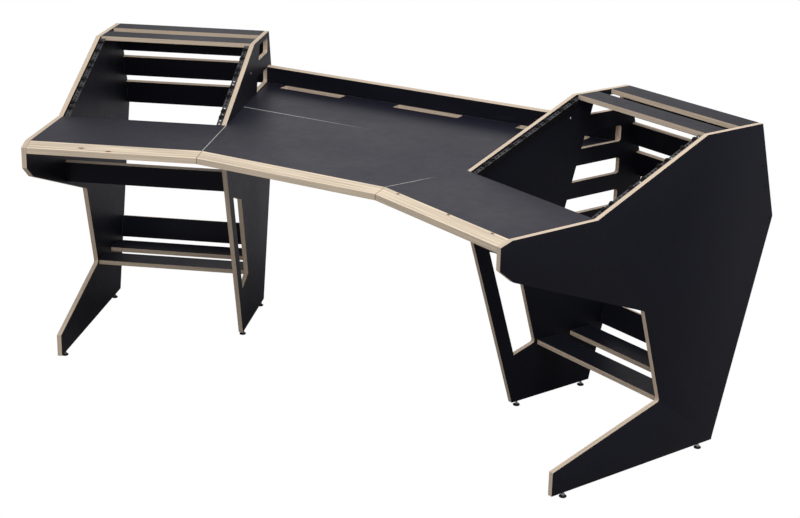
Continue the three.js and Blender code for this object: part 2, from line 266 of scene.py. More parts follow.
# Matt phenolic film: a faint pressed fibre, cloudy tone, hairline scratches and a few dust specks
filmPattern = {
    "stretch": 0.94,  # share by which the fibre's pattern is drawn out along the grain
    "fibreSize": 260.0,
    "fibreTone": 0.07,
    "cloudSize": 3.2,
    "cloudTone": (0.9, 1.1),
    "mottleSize": 42.0,
    "mottleRoughness": 0.02,
    "mottleHeight": 0.5,
    "scratchTurn": (0.4, 0.9, 0.7),
    "scratchStretch": (1.0, 34.0, 34.0),
    "scratchSize": 6.0,
    "scratch": (0.705, 0.725),
    "scratchColour": rgb(0.11, 0.11, 0.12),
    "scratchShare": 0.12,
    "scratchRoughness": 0.1,
    "scratchHeight": 0.6,
    "speckCells": 70.0,
    "speckSize": 0.035,
    "speckColour": rgb(0.20, 0.19, 0.18),
    "speckShare": 0.25,
    "roughness": (0.40, 0.47),
}


def buildFilmFace():
    inputs = {
        "Tint": ("colour", rgb(0.0185, 0.0185, 0.0225)),
        "Grain": ("vector", (1, 0, 0)),
        "Wear": ("float", 0.5),
    }
    outputs = {"Color": "colour", "Roughness": "float", "Height": "float"}
    tree, start, ends = shaderGroup("filmFace", inputs, outputs)
    look = filmPattern
    place = objectPlace(tree)
    run = dot(tree, place, start["Grain"])
    squeezed = scaled(tree, start["Grain"], calc(tree, "MULTIPLY", run, -look["stretch"]))
    fibre = noise(tree, vectorCalc(tree, "ADD", place, squeezed), look["fibreSize"], 3.0, 0.6)
    cloud = noise(tree, place, look["cloudSize"], 3.0, 0.55)
    mottle = noise(tree, place, look["mottleSize"], 2.0, 0.6)
    values = {"Vector": place, "Rotation": look["scratchTurn"], "Scale": look["scratchStretch"]}
    turned = addNode(tree, "ShaderNodeMapping", values).outputs[0]
    hair = noise(tree, turned, look["scratchSize"], 1.0, 0.4)
    scratch = calc(tree, "MULTIPLY", spread(tree, hair, *look["scratch"]), start["Wear"])
    values = {"Vector": place, "Scale": look["speckCells"], "Randomness": 1.0}
    cells = addNode(tree, "ShaderNodeTexVoronoi", values).outputs["Distance"]
    speck = calc(tree, "MULTIPLY", calc(tree, "LESS_THAN", cells, look["speckSize"]), start["Wear"])
    cloudTone = spread(tree, cloud, 0.3, 0.7, *look["cloudTone"])
    fibreTone = spread(tree, fibre, 0.3, 0.7, -look["fibreTone"], look["fibreTone"])
    colour = scaled(tree, start["Tint"], calc(tree, "ADD", cloudTone, fibreTone))
    marks = (
        (scratch, look["scratchShare"], look["scratchColour"]),
        (speck, look["speckShare"], look["speckColour"]),
    )
    for mark, share, markColour in marks:
        colour = blendColour(tree, calc(tree, "MULTIPLY", mark, share), colour, markColour)
    rough = spread(tree, cloud, 0.3, 0.7, *look["roughness"])
    mottled = spread(tree, mottle, 0.3, 0.7, -look["mottleRoughness"], look["mottleRoughness"])
    rough = calc(tree, "ADD", rough, mottled)
    rough = calc(tree, "ADD", rough, calc(tree, "MULTIPLY", scratch, look["scratchRoughness"]))
    height = calc(tree, "ADD", fibre, calc(tree, "MULTIPLY", mottle, look["mottleHeight"]))
    height = calc(tree, "SUBTRACT", height, calc(tree, "MULTIPLY", scratch, look["scratchHeight"]))
    give(tree, ends, {"Color": colour, "Roughness": rough, "Height": height})
    return tree


# Where two boards meet: a hairline that fades along the seam
seamEdge = {
    "fullTo": 0.6,  # shares of the line's half width
    "goneAt": 1.4,
}


def buildSeamLine():
    inputs = {
        "Across": ("vector", (0, 1, 0)),
        "Start": ("float", 0.0),
        "Width": ("float", 0.0012),
        "Along": ("vector", (1, 0, 0)),
        "Full": ("float", 0.0),
        "Gone": ("float", 1.0),
        "End": ("float", 1.0),
        "Rest": ("float", 0.2),
    }
    tree, start, ends = shaderGroup("seamLine", inputs, {"Line": "float"})
    place = objectPlace(tree)
    off = calc(tree, "SUBTRACT", dot(tree, place, start["Across"]), start["Start"])
    off = calc(tree, "DIVIDE", calc(tree, "ABSOLUTE", off), start["Width"])
    near = spread(tree, off, seamEdge["fullTo"], seamEdge["goneAt"], 1.0, 0.0)
    along = dot(tree, place, start["Along"])
    fade = spread(tree, along, start["Full"], start["Gone"], 1.0, start["Rest"])
    inside = calc(tree, "LESS_THAN", along, start["End"])
    give(tree, ends, {"Line": calc(tree, "MULTIPLY", calc(tree, "MULTIPLY", near, fade), inside)})
    return tree


# One knot or small void in a veneer, longer along the board than across it
knotEdge = {
    "warp": 0.0016,
    "warpSize": 300.0,
    "core": 0.55,
    "ring": 4.0,
}


def buildKnot():
    inputs = {
        "Centre": ("vector", (0, 0, 0)),
        "Way": ("vector", (1, 0, 0)),
        "Length": ("float", 0.006),
        "Width": ("float", 0.0022),
    }
    tree, start, ends = shaderGroup("knot", inputs, {"Knot": "float", "Ring": "float"})
    place = objectPlace(tree)
    values = {"Vector": place, "Scale": knotEdge["warpSize"], "Detail": 1.0}
    warp = addNode(tree, "ShaderNodeTexNoise", values).outputs["Color"]
    warp = scaled(tree, vectorCalc(tree, "SUBTRACT", warp, (0.5, 0.5, 0.5)), knotEdge["warp"])
    offset = vectorCalc(tree, "ADD", vectorCalc(tree, "SUBTRACT", place, start["Centre"]), warp)
    along = dot(tree, offset, start["Way"])
    across = calc(tree, "SUBTRACT", dot(tree, offset, offset), calc(tree, "MULTIPLY", along, along))
    across = calc(tree, "SQRT", calc(tree, "MAXIMUM", across, 0.0))
    lengthways = calc(tree, "DIVIDE", calc(tree, "ABSOLUTE", along), start["Length"])
    widthways = calc(tree, "DIVIDE", across, start["Width"])
    squares = [calc(tree, "POWER", value, 2.0) for value in (lengthways, widthways)]
    far = calc(tree, "ADD", *squares)
    knot = spread(tree, far, 1.0, knotEdge["core"])
    give(tree, ends, {"Knot": knot, "Ring": spread(tree, far, knotEdge["ring"], 1.0)})
    return tree


# Fine skin of a painted or moulded part
skinPattern = {
    "patchSize": 18.0,
    "patchTone": (0.8, 1.25),
    "patchRoughness": 0.06,
    "rubSize": 140.0,
    "rub": (0.58, 0.72),
    "rubColour": rgb(0.09, 0.09, 0.092),
    "rubShare": 0.4,
    "rubRoughness": 0.1,
}


def buildFineSkin():
    inputs = {
        "Tint": ("colour", rgb(0.015, 0.015, 0.016)),
        "Grain Size": ("float", 900.0),
        "Gloss": ("float", 0.45),
        "Rub": ("float", 0.4),
    }
    outputs = {"Color": "colour", "Roughness": "float", "Height": "float"}
    tree, start, ends = shaderGroup("fineSkin", inputs, outputs)
    look = skinPattern
    place = objectPlace(tree)
    pebble = noise(tree, place, start["Grain Size"], 2.0, 0.5)
    patch = noise(tree, place, look["patchSize"], 3.0, 0.6)
    rub = spread(tree, noise(tree, place, look["rubSize"], 3.0, 0.7), *look["rub"])
    rub = calc(tree, "MULTIPLY", rub, start["Rub"])
    colour = scaled(tree, start["Tint"], spread(tree, patch, 0.3, 0.7, *look["patchTone"]))
    rubbed = calc(tree, "MULTIPLY", rub, look["rubShare"])
    colour = blendColour(tree, rubbed, colour, look["rubColour"])
    rough = spread(tree, patch, 0.3, 0.7, -look["patchRoughness"], look["patchRoughness"])
    rough = calc(tree, "ADD", start["Gloss"], rough)
    rough = calc(tree, "SUBTRACT", rough, calc(tree, "MULTIPLY", rub, look["rubRoughness"]))
    give(tree, ends, {"Color": colour, "Roughness": rough, "Height": pebble})
    return tree


groups = {
    "boardSides": buildBoardSides(),
    "plyLayers": buildPlyLayers(),
    "filmFace": buildFilmFace(),
    "seamLine": buildSeamLine(),
    "knot": buildKnot(),
    "fineSkin": buildFineSkin(),
}
print("shader groups built:", len(groups))


def newMaterial(name):
    made = bpy.data.materials.new(name)
    made.use_nodes = True
    tree = made.node_tree
    return made, tree, tree.nodes["Principled BSDF"]


def bump(tree, shader, height, strength, distance):
    values = {"Height": height, "Strength": strength, "Distance": distance}
    made = addNode(tree, "ShaderNodeBump", values)
    tree.links.new(made.outputs["Normal"], shader.inputs["Normal"])


# Film-faced plywood
filmPly = {
    "thickness": 0.014,
    "veneers": 10,
    "contrast": 0.75,
    "wear": 0.5,
    "filmLine": 0.012,  # share of the thickness that the film takes at each face
    "filmLineColour": rgb(0.03, 0.024, 0.022),
    "filmTint": rgb(0.0085, 0.0092, 0.0145),
    # painted light: the worktop boards carry the panels' film in a lighter tint, for the light that
    # falls on their tops
    "worktopTint": rgb(0.0132, 0.0130, 0.0228),
    "longGrain": rgb(0.82, 0.69, 0.535),
    "endGrain": rgb(0.63, 0.50, 0.365),
    "glue": rgb(0.29, 0.20, 0.125),
    # pale seam line: partly pale ply at the joint, partly a painted highlight of eased edges
    # catching the light
    "seamPlyAndHighlight": rgb(0.80, 0.77, 0.72),
    "specular": {"worktop": 0.155, "panel": 0.115},
    "filmBump": 0.3,  # share of the veneers' bump
    "bump": 0.35,
    "bumpHeight": 0.0004,
}


def boardFace(node):
    areas = {}
    mesh = node.data
    for polygon in mesh.polygons:
        normal = polygon.normal
        key = tuple(round(value, 2) for value in normal)
        total, summed = areas.get(key, (0.0, Vector((0, 0, 0))))
        areas[key] = (total + polygon.area, summed + normal * polygon.area)
    face = max(areas.values(), key=lambda entry: entry[0])[1].normalized()
    if (face.z, face.x, face.y) < (-face.z, -face.x, -face.y):
        face = -face
    heights = [face.dot(vertex.co) for vertex in mesh.vertices]
    return face, min(heights), max(heights) - min(heights)


# Worktop seam lines: partly pale ply at the joints, partly a painted highlight standing in for
# eased edges that catch the light
seams = {
    "creaseWidth": 0.0011,
    "creases": (
        # side, strength, where the line starts to fade, where it is faintest, what is left there
        (-1, 0.78, 0.12, 0.30, 0.9),
        (1, 0.75, 0.11, 0.175, 0.0),
    ),
    "middle": {
        "width": 0.0014,
        "strength": 0.95,
        "full": -0.33,
        "gone": -0.02,
        "rest": 0.0,
        "end": 2.0,
    },
}


def seamsOf():
    found = []
    for side, strength, full, gone, rest in seams["creases"]:
        across, along = wingWay(side, 1, 0), wingWay(side, 0, 1)
        front = along.dot(wingSpot(side, 0, 0, 0))
        found.append((strength, {
            "Across": across,
            "Start": across.dot(wingSpot(side, 0, 0, 0)),
            "Width": seams["creaseWidth"],
            "Along": along,
            "Full": front + full,
            "Gone": front + gone,
            "End": front + desk["slopeFoot"],
            "Rest": rest,
        }))
    middle = seams["middle"]
    found.append((middle["strength"], {
        "Across": (0, 1, 0),
        "Start": desk["frontLine"] + desk["boardSeam"],
        "Width": middle["width"],
        "Along": (1, 0, 0),
        "Full": middle["full"],
        "Gone": middle["gone"],
        "End": middle["end"],
        "Rest": middle["rest"],
    }))
    return found


def filmPlyMaterial(face, start, thickness, kind):
    made, tree, shader = newMaterial("filmPly")
    sheets = max(1, round(thickness / filmPly["thickness"]))
    values = {"Face": face, "Start": start, "Thickness": thickness}
    sides = useGroup(tree, groups["boardSides"], values)
    layers = useGroup(tree, groups["plyLayers"], {
        "Depth": sides["Depth"],
        "Face": face,
        "Veneers": filmPly["veneers"] * sheets,
        "Contrast": filmPly["contrast"],
        "Long Grain": filmPly["longGrain"],
        "End Grain": filmPly["endGrain"],
        "Glue": filmPly["glue"],
    })
    grain = Vector((1, 0, 0)) if abs(face.x) < 0.5 else Vector((0, 0, 1))
    # painted light: top boards take the lighter tint of the same film
    tint = filmPly["worktopTint"] if kind == "worktop" else filmPly["filmTint"]
    values = {"Tint": tint, "Grain": grain, "Wear": filmPly["wear"]}
    film = useGroup(tree, groups["filmFace"], values)
    colour = film["Color"]
    # seam lines on the worktop: pale ply at the joint and a painted highlight of its eased edges
    for strength, values in seamsOf() if kind == "worktop" else []:
        line = useGroup(tree, groups["seamLine"], values)["Line"]
        line = calc(tree, "MULTIPLY", line, strength)
        colour = blendColour(tree, line, colour, filmPly["seamPlyAndHighlight"])
    inSheet = calc(tree, "FRACT", calc(tree, "MULTIPLY", sides["Depth"], sheets))
    fromMiddle = calc(tree, "ABSOLUTE", calc(tree, "SUBTRACT", inSheet, 0.5))
    outer = calc(tree, "GREATER_THAN", fromMiddle, 0.5 - filmPly["filmLine"])
    edgeColour = blendColour(tree, outer, layers["Color"], filmPly["filmLineColour"])
    colour = blendColour(tree, sides["Edge"], colour, edgeColour)
    tree.links.new(colour, shader.inputs["Base Color"])
    rough = blendNumber(tree, sides["Edge"], film["Roughness"], layers["Roughness"])
    tree.links.new(rough, shader.inputs["Roughness"])
    shader.inputs["Specular IOR Level"].default_value = filmPly["specular"][kind]
    filmHeight = calc(tree, "MULTIPLY", film["Height"], filmPly["filmBump"])
    height = blendNumber(tree, sides["Edge"], filmHeight, layers["Height"])
    bump(tree, shader, height, filmPly["bump"], filmPly["bumpHeight"])
    return made


filmMade = {}


def filmPlyFor(name, node):
    onTop = "worktop" in name or name in ("centre_front_board", "centre_rear_board")
    kind = "worktop" if onTop else "panel"
    face, start, thickness = boardFace(node)
    key = (kind,) + tuple(round(value, 4) for value in (*face, start, thickness))
    if key not in filmMade:
        filmMade[key] = filmPlyMaterial(face, start, thickness, kind)
    return filmMade[key]


# Wooden edging: stacked veneers cut on a slope, with the knots that show along it
edging = {
    "veneers": 17,
    "contrast": 0.6,
    "longGrain": rgb(0.80, 0.685, 0.52),
    "endGrain": rgb(0.66, 0.54, 0.39),
    "glue": rgb(0.40, 0.30, 0.20),
    "knotColour": rgb(0.13, 0.075, 0.04),
    "knotRing": 0.3,
    "rightKnots": (
        # across, back, half length, half width
        (0.0635, -0.0048, 0.0055, 0.0030),
        (0.2714, -0.0032, 0.0055, 0.0030),
        (0.4433, -0.0039, 0.0060, 0.0030),
    ),
    "leftKnots": (
        (0.3433, -0.0217, 0.0100, 0.0030),
        (0.2625, -0.0298, 0.0090, 0.0030),
    ),
    "mitreWidth": 0.0012,
    "mitreColour": rgb(0.30, 0.19, 0.10),
    "mitreShare": 0.8,
    "height": 0.0288,
    "fall": 0.0117,  # from its rear to its front
    "depth": 0.0366,
    "specular": 0.4,
    "bump": 0.3,
    "bumpHeight": 0.0004,
}


def edgingMaterial(name, side):
    made, tree, shader = newMaterial(name)
    low = desk["tableTop"] - edging["height"]
    values = {"Face": (0, 0, 1), "Start": low, "Thickness": edging["height"]}
    sides = useGroup(tree, groups["boardSides"], values)
    layers = useGroup(tree, groups["plyLayers"], {
        "Depth": sides["Depth"],
        "Face": (0, 0, 1),
        "Veneers": edging["veneers"],
        "Contrast": edging["contrast"],
        "Long Grain": edging["longGrain"],
        "End Grain": edging["endGrain"],
        "Glue": edging["glue"],
    })
    colour = layers["Color"]
    knots = {1: edging["rightKnots"], -1: edging["leftKnots"], 0: ()}[side]
    for across, back, halfLength, halfWidth in knots:
        height = desk["tableTop"] + edging["fall"] * back / edging["depth"]
        values = {
            "Centre": wingSpot(side, across, back, height),
            "Way": wingWay(side, 1, 0),
            "Length": halfLength,
            "Width": halfWidth,
        }
        knot = useGroup(tree, groups["knot"], values)
        ring = calc(tree, "MULTIPLY", knot["Ring"], edging["knotRing"])
        colour = blendColour(tree, ring, colour, edging["glue"])
        colour = blendColour(tree, knot["Knot"], colour, edging["knotColour"])
    for end in (side,) if side else (-1, 1):
        across = (wingWay(end, 1, 0) + Vector((end, 0, 0))).normalized()
        mitre = useGroup(tree, groups["seamLine"], {
            "Across": across,
            "Start": across.dot(wingSpot(end, 0, 0, 0)),
            "Width": edging["mitreWidth"],
            "Along": (0, 0, 1),
            "Rest": 1.0,
        })
        line = calc(tree, "MULTIPLY", mitre["Line"], edging["mitreShare"])
        colour = blendColour(tree, line, colour, edging["mitreColour"])
    tree.links.new(colour, shader.inputs["Base Color"])
    tree.links.new(layers["Roughness"], shader.inputs["Roughness"])
    shader.inputs["Specular IOR Level"].default_value = edging["specular"]
    bump(tree, shader, layers["Height"], edging["bump"], edging["bumpHeight"])
    return made


# Steel and plastic
skins = {
    "blackSteel": {
        "tint": rgb(0.010, 0.010, 0.011),
        "grainSize": 1100.0,
        "gloss": 0.44,
        "rub": 0.4,
        "metallic": 0.0,
        "specular": 0.2,
        "bump": 0.25,
    },
    "brightSteel": {
        "tint": rgb(0.66, 0.66, 0.68),
        "grainSize": 500.0,
        "gloss": 0.24,
        "rub": 0.2,
        "metallic": 1.0,
        "specular": 0.5,
        "bump": 0.1,
    },
    "blackPlastic": {
        "tint": rgb(0.009, 0.009, 0.010),
        "grainSize": 1600.0,
        "gloss": 0.5,
        "rub": 0.3,
        "metallic": 0.0,
        "specular": 0.2,
        "bump": 0.25,
    },
    "blackScrew": {
        "tint": rgb(0.006, 0.006, 0.006),
        "grainSize": 900.0,
        "gloss": 0.42,
        "rub": 0.3,
        "metallic": 0.0,
        "specular": 0.2,
        "bump": 0.25,
    },
    # One black paint on the rails, drawn with painted light and shade: faces that look up take the
    # lighter tint, the sideways flange a darker one
    "railSteel": {
        "tint": rgb(0.050, 0.050, 0.054),
        "shaded": rgb(0.006, 0.006, 0.007),  # painted shade: the flange along the panel, the same paint drawn darker
        "shadedFrom": (0.2, 0.8),  # how much a face looks up, from the painted shade to the lighter tint
        "grainSize": 1100.0,
        "gloss": 0.38,
        "rub": 0.3,
        "metallic": 0.0,
        "specular": 0.3,
        "bump": 0.2,
    },
}
skinBumpHeight = 0.0002


def skinMaterial(name, look):
    made, tree, shader = newMaterial(name)
    skin = useGroup(tree, groups["fineSkin"], {
        "Tint": look["tint"],
        "Grain Size": look["grainSize"],
        "Gloss": look["gloss"],
        "Rub": look["rub"],
    })
    colour = skin["Color"]
    # Painted light and shade: faces that look sideways take the darker shaded tint, faces that look
    # up the lighter one
    if "shaded" in look:
        normal = tree.nodes.new("ShaderNodeNewGeometry").outputs["True Normal"]
        lit = spread(tree, dot(tree, normal, (0, 0, 1)), *look["shadedFrom"])
        colour = blendColour(tree, lit, look["shaded"], colour)
    tree.links.new(colour, shader.inputs["Base Color"])
    tree.links.new(skin["Roughness"], shader.inputs["Roughness"])
    shader.inputs["Metallic"].default_value = look["metallic"]
    shader.inputs["Specular IOR Level"].default_value = look["specular"]
    bump(tree, shader, skin["Height"], look["bump"], skinBumpHeight)
    return made


finishes = {name: skinMaterial(name, look) for name, look in skins.items()}

for name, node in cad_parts.items():
    if name.endswith("edging"):
        side = {"right": 1, "left": -1, "centre": 0}[name.split("_")[0]]
        made = edgingMaterial(name + "Wood", side)
    elif "rail" in name or "bracket" in name or "plate" in name:
        made = finishes["blackSteel"]
    elif "stem" in name:
        made = finishes["brightSteel"]
    elif "pad" in name:
        made = finishes["blackPlastic"]
    else:
        made = filmPlyFor(name, node)
    if not node.data.materials:
        node.data.materials.append(made)
    for slot in node.material_slots:
        slot.material = made
print("plywood finishes:", len(filmMade))


# Boards and edging with their arrises eased, in place of the sharp ones
easedBoards = {
    "arris": 0.0007,
    "steps": 2,
    "flattest": math.radians(30),  # the bends between an arc's short straights are left
    "nearBore": 0.0045,
    "nearSeam": 0.0006,  # worktop boards meet sharp, so the film runs on across the seam
    "weld": 1e-6,
    "flat": math.radians(0.4),  # faces that turn less than this are one face
}


def boreSpots():
    spots = []
    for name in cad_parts:
        if "stem" in name:
            low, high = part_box(name)
            spots.append(((low[0] + high[0]) / 2, (low[1] + high[1]) / 2))
    return spots


def onSeam(edge):
    planes = [(wingWay(side, 1, 0), wingSpot(side, 0, 0, 0)) for side in (-1, 1)]
    planes.append((Vector((0, 1, 0)), Vector((0, desk["frontLine"] + desk["boardSeam"], 0))))
    for across, spot in planes:
        away = [abs(across.dot(vertex.co - spot)) for vertex in edge.verts]
        if max(away) < easedBoards["nearSeam"]:
            return True
    return False


def atBore(edge, bores):
    middle = (edge.verts[0].co + edge.verts[1].co) / 2
    near = easedBoards["nearBore"]
    return any(math.hypot(middle.x - x, middle.y - y) < near for x, y in bores)


def easeBoard(name, node, bores):
    made = bmesh.new()
    made.from_mesh(node.data)
    bmesh.ops.remove_doubles(made, verts=made.verts, dist=easedBoards["weld"])
    bmesh.ops.dissolve_limit(
        made, angle_limit=easedBoards["flat"], verts=made.verts, edges=made.edges
    )
    joined = "board" in name or "worktop" in name
    rim = []
    for edge in made.edges:
        kept = atBore(edge, bores) or (joined and onSeam(edge))
        if not kept and edge.calc_face_angle(0.0) > easedBoards["flattest"]:
            rim.append(edge)
    bmesh.ops.bevel(
        made, geom=rim, offset=easedBoards["arris"], offset_type="OFFSET",
        segments=easedBoards["steps"], profile=0.5, affect="EDGES", clamp_overlap=True
    )
    mesh = bpy.data.meshes.new(name + "Eased")
    made.to_mesh(mesh)
    made.free()
    mesh.materials.append(node.material_slots[0].material)
    board = bpy.data.objects.new(name + "_eased", mesh)
    bpy.context.scene.collection.objects.link(board)
    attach(board, "desk")
    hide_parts(name)
    return len(mesh.polygons)


plain = ("rail", "bracket", "plate", "foot")
boards = [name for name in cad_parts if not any(word in name for word in plain)]
bores = boreSpots()
faces = sum(easeBoard(name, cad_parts[name], bores) for name in boards)
print("eased boards:", len(boards), "with", faces, "faces")


# Heads of screws and bolts
onAxis = 1e-7  # a ring with a smaller radius is a single point


def lathe(profile, sides):
    made = bmesh.new()
    rings = []
    angles = [2 * math.pi * i / sides for i in range(sides)]
    for radius, height in profile:
        spots = [(radius * math.cos(a), radius * math.sin(a), height) for a in angles]
        if radius < onAxis:
            spots = [(0, 0, height)]
        rings.append([made.verts.new(spot) for spot in spots])
    for below, above in zip(rings, rings[1:]):
        for i in range(sides):
            j = (i + 1) % sides
            around = ((below, i), (below, j), (above, j), (above, i))
            corners = [ring[k % len(ring)] for ring, k in around]
            corners = [v for k, v in enumerate(corners) if v not in corners[:k]]
            if len(corners) > 2:
                made.faces.new(corners)
    bmesh.ops.recalc_face_normals(made, faces=made.faces)
    return made


def headObject(name, profile, sides, finish):
    mesh = bpy.data.meshes.new(name)
    made = lathe(profile, sides)
    made.to_mesh(mesh)
    made.free()
    mesh.materials.append(finish)
    return bpy.data.objects.new(name, mesh)


def geometryGroup(name, sockets):
    tree = bpy.data.node_groups.new(name, "GeometryNodeTree")
    for socket, (way, kind) in sockets.items():
        tree.interface.new_socket(name=socket, in_out=way, socket_type="NodeSocket" + kind)
    start = tree.nodes.new("NodeGroupInput").outputs
    ends = tree.nodes.new("NodeGroupOutput").inputs
    return tree, start, ends


def objectGeometry(tree, source):
    made = addNode(tree, "GeometryNodeObjectInfo", {"Object": source}, transform_space="ORIGINAL")
    return made.outputs["Geometry"]


def spotValue(tree, layer):
    kind = "GeometryNodeInputNamedAttribute"
    made = addNode(tree, kind, {"Name": layer}, data_type="FLOAT_VECTOR")
    return made.outputs["Attribute"]


def dressed(tree, geometry, finish):
    real = addNode(tree, "GeometryNodeRealizeInstances", {"Geometry": geometry})
    values = {"Geometry": real.outputs["Geometry"], "Material": finish}
    return addNode(tree, "GeometryNodeSetMaterial", values).outputs["Geometry"]


def buildPlacedHeads():
    tree, start, ends = geometryGroup("placedHeads", {
        "Places": ("INPUT", "Geometry"),
        "Head": ("INPUT", "Object"),
        "Size": ("INPUT", "Float"),
        "Spin": ("INPUT", "Float"),
        "Seed": ("INPUT", "Int"),
        "Finish": ("INPUT", "Material"),
        "Heads": ("OUTPUT", "Geometry"),
    })
    align = "FunctionNodeAlignRotationToVector"
    upright = addNode(tree, align, {"Vector": spotValue(tree, "facing")}, axis="Z")
    values = {"Rotation": upright.outputs[0], "Vector": spotValue(tree, "heading")}
    turn = addNode(tree, align, values, axis="X", pivot_axis="Z")
    values = {2: 0.0, 3: 2 * math.pi, "Seed": start["Seed"]}
    spin = addNode(tree, "FunctionNodeRandomValue", values, data_type="FLOAT")
    angle = calc(tree, "MULTIPLY", spin.outputs[1], start["Spin"])
    own = addNode(tree, "FunctionNodeAxisAngleToRotation", {"Axis": (0, 0, 1), "Angle": angle})
    values = {"Rotation": turn.outputs[0], "Rotate By": own.outputs[0]}
    whole = addNode(tree, "FunctionNodeRotateRotation", values, rotation_space="LOCAL")
    points = addNode(tree, "GeometryNodeMeshToPoints", {"Mesh": start["Places"]})
    scale = addNode(tree, "ShaderNodeCombineXYZ", {axis: start["Size"] for axis in range(3)})
    placed = addNode(tree, "GeometryNodeInstanceOnPoints", {
        "Points": points.outputs["Points"],
        "Instance": objectGeometry(tree, start["Head"]),
        "Rotation": whole.outputs[0],
        "Scale": scale.outputs[0],
    })
    heads = dressed(tree, placed.outputs["Instances"], start["Finish"])
    tree.links.new(heads, ends["Heads"])
    return tree


placedHeads = buildPlacedHeads()


def socketId(tree, name):
    for item in tree.interface.items_tree:
        if item.name == name and item.in_out == "INPUT":
            return item.identifier


spotLayers = ("facing", "heading")  # a spot is its place, the way it faces and a way square to that


def spotMesh(name, spots):
    mesh = bpy.data.meshes.new(name)
    mesh.from_pydata([spot[0] for spot in spots], [], [])
    for place, layer in enumerate(spotLayers, 1):
        attribute = mesh.attributes.new(layer, "FLOAT_VECTOR", "POINT")
        for i, spot in enumerate(spots):
            attribute.data[i].vector = spot[place]
    return mesh


def applyTree(holder, tree, values):
    modifier = holder.modifiers.new(tree.name, "NODES")
    modifier.node_group = tree
    for socket, value in values.items():
        modifier[socketId(tree, socket)] = value
    bpy.context.view_layer.update()
    graph = bpy.context.evaluated_depsgraph_get()
    made = bpy.data.meshes.new_from_object(holder.evaluated_get(graph))
    holder.modifiers.remove(modifier)
    holder.data = made
    for layer in spotLayers:
        if layer in made.attributes:
            made.attributes.remove(made.attributes[layer])


def placeHeads(name, head, spots, seed, finish):
    holder = bpy.data.objects.new(name, spotMesh(name + "Places", spots))
    bpy.context.scene.collection.objects.link(holder)
    values = {"Head": head, "Size": 1.0, "Spin": 1.0, "Seed": seed, "Finish": finish}
    applyTree(holder, placedHeads, values)
    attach(holder, "desk")
    print(name + ":", len(spots), "heads,", len(holder.data.polygons), "faces")


panelScrews = {
    "radius": 0.0039,
    "rise": 0.0004,
    "sunk": 0.0004,
    "wall": 0.5,  # share of the rise
    "rim": 0.92,  # shares of the radius
    "socket": 0.46,
    "socketFoot": 0.40,
    "socketFloor": 0.6,
    "socketDrop": 0.0005,
    "middleDrop": 0.0007,
    "sides": 20,
    "seed": 3,
    # back and height of each screw, on the outer panels
    "table": ((0.008, 0.744), (0.131, 0.740), (0.243, 0.744)),
    "stretcher": ((0.248, 0.701), (0.282, 0.635), (0.282, 0.605), (0.306, 0.536)),
    "shelf": ((0.562, 0.188), (0.615, 0.188), (0.690, 0.188), (0.752, 0.188)),
    "crown": ((0.678, 0.908), (0.722, 0.908), (0.806, 0.908), (0.850, 0.908)),
    "rear": ((0.883, 0.796), (0.902, 0.735), (0.931, 0.639)),
}


def panelScrewSpots():
    spots = []
    for side in (-1, 1):
        for group in ("table", "stretcher", "shelf", "crown", "rear"):
            for back, height in panelScrews[group]:
                spot = wingSpot(side, desk["outerFace"], back, height)
                spots.append((spot, wingWay(side, 1, 0), Vector((0, 0, 1))))
    return spots


def flatHeadObject():
    radius, rise = panelScrews["radius"], panelScrews["rise"]
    floor = rise * panelScrews["socketFloor"]
    return headObject("flatHead", [
        (0, -panelScrews["sunk"]),
        (radius, -panelScrews["sunk"]),
        (radius, rise * panelScrews["wall"]),
        (radius * panelScrews["rim"], rise),
        (radius * panelScrews["socket"], rise),
        (radius * panelScrews["socketFoot"], floor - panelScrews["socketDrop"]),
        (0, floor - panelScrews["middleDrop"]),
    ], panelScrews["sides"], finishes["blackScrew"])


placeHeads("panel_screws", flatHeadObject(), panelScrewSpots(), panelScrews["seed"],
           finishes["blackScrew"])


# Rack rails: folded steel with a row of threaded holes, some with the screw and cup washer still in
rackRails = {
    "face": 0.0175,
    "depth": 0.025,
    "steel": 0.002,
    "recess": 0.0045,  # below the panels' sloping edges
    "back": 0.0003,  # gap to the panel
    "start": 0.005,
    "units": 9,
    "unit": 0.04445,
    "holes": (0.00635, 0.022225, 0.0381),  # in each unit
    "holeRadius": 0.0032,
    "holeSides": 20,
    "drillLength": 0.008,
    "fromPanel": 0.01045,
    "bend": 0.003,
    "bendSteps": 4,
    "ease": 0.0004,
    "screwsAt": (2, 4, 9, 12, 16, 18, 22, 25),  # which holes hold a screw, from the slope's foot
}
rackRise = math.atan2(desk["rackTop"] - desk["tableTop"], desk["crownFront"] - desk["slopeFoot"])


def railSpot(side, place, out, along, rise):
    across = desk["innerInside"] + out if place == "inner" else desk["outerInside"] - out
    back = desk["slopeFoot"] + along * math.cos(rackRise) - rise * math.sin(rackRise)
    height = desk["tableTop"] + along * math.sin(rackRise) + rise * math.cos(rackRise)
    return wingSpot(side, across, back, height)


def railProfile():
    face, depth, steel = rackRails["face"], rackRails["depth"], rackRails["steel"]
    bend, ease, steps = rackRails["bend"], rackRails["ease"], rackRails["bendSteps"]
    turns = [math.pi / 2 * i / steps for i in range(steps + 1)]
    outside = [(bend - bend * math.cos(t), -bend + bend * math.sin(t)) for t in turns]
    inner = bend - steel
    inside = [(bend - inner * math.cos(t), -bend + inner * math.sin(t)) for t in reversed(turns)]
    free = [(face - ease, 0), (face, -ease), (face, ease - steel), (face - ease, -steel)]
    foot = [(steel, ease - depth), (steel - ease, -depth), (ease, -depth), (0, ease - depth)]
    return outside + free + inside + foot


